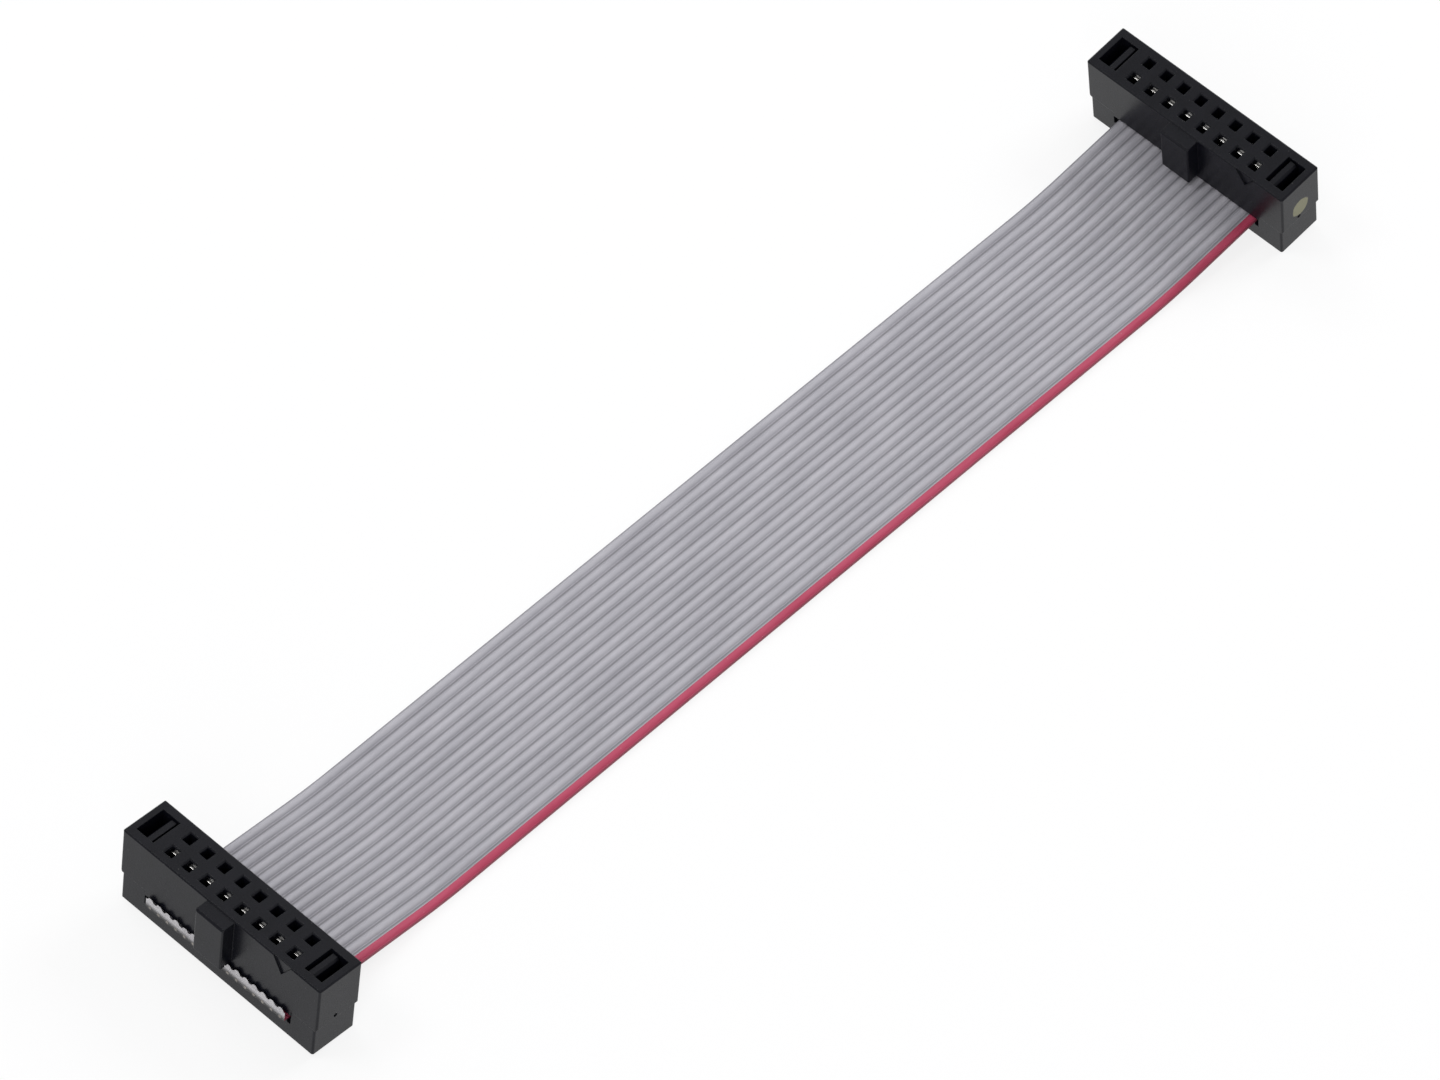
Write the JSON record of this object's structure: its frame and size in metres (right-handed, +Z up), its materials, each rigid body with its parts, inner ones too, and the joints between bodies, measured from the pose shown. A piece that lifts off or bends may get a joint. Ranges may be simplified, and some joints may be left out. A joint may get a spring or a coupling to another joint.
{
  "type": "ribbon cable",
  "caption": "Flat ribbon cable with a coloured edge wire and a two-row socket connector pressed onto each end.",
  "frame": {"origin": "centre of the two connectors' footprint, on the surface that the cable lies on", "axes": "+X along the cable from the near connector to the far one, +Y across it away from the coloured edge wire, +Z up"},
  "size_m": [0.156, 0.0288, 0.0111],
  "materials": {
    "black_plastic": "satin moulded",
    "grey_insulation": "matte vinyl",
    "red_insulation": "matte vinyl",
    "tinned_contact": "tin plated",
    "tinned_copper": "tinned copper"
  },
  "bodies": {
    "root": {"near_housing": "black_plastic", "near_cover": "black_plastic", "far_housing": "black_plastic", "far_cover": "black_plastic", "grey_insulation": "grey_insulation", "red_edge_insulation": "red_insulation", "near_contact_01": "tinned_contact", "near_contact_02": "tinned_contact", "near_contact_03": "tinned_contact", "near_contact_04": "tinned_contact", "near_contact_05": "tinned_contact", "near_contact_06": "tinned_contact", "near_contact_07": "tinned_contact", "near_contact_08": "tinned_contact", "near_contact_09": "tinned_contact", "near_contact_10": "tinned_contact", "near_contact_11": "tinned_contact", "near_contact_12": "tinned_contact", "near_contact_13": "tinned_contact", "near_contact_14": "tinned_contact", "near_contact_15": "tinned_contact", "near_contact_16": "tinned_contact", "far_contact_01": "tinned_contact", "far_contact_02": "tinned_contact", "far_contact_03": "tinned_contact", "far_contact_04": "tinned_contact", "far_contact_05": "tinned_contact", "far_contact_06": "tinned_contact", "far_contact_07": "tinned_contact", "far_contact_08": "tinned_contact", "far_contact_09": "tinned_contact", "far_contact_10": "tinned_contact", "far_contact_11": "tinned_contact", "far_contact_12": "tinned_contact", "far_contact_13": "tinned_contact", "far_contact_14": "tinned_contact", "far_contact_15": "tinned_contact", "far_contact_16": "tinned_contact", "wire_core_01": "tinned_copper", "wire_core_02": "tinned_copper", "wire_core_03": "tinned_copper", "wire_core_04": "tinned_copper", "wire_core_05": "tinned_copper", "wire_core_06": "tinned_copper", "wire_core_07": "tinned_copper", "wire_core_08": "tinned_copper", "wire_core_09": "tinned_copper", "wire_core_10": "tinned_copper", "wire_core_11": "tinned_copper", "wire_core_12": "tinned_copper", "wire_core_13": "tinned_copper", "wire_core_14": "tinned_copper", "wire_core_15": "tinned_copper", "wire_core_16": "tinned_copper"}
  },
  "joints": []
}
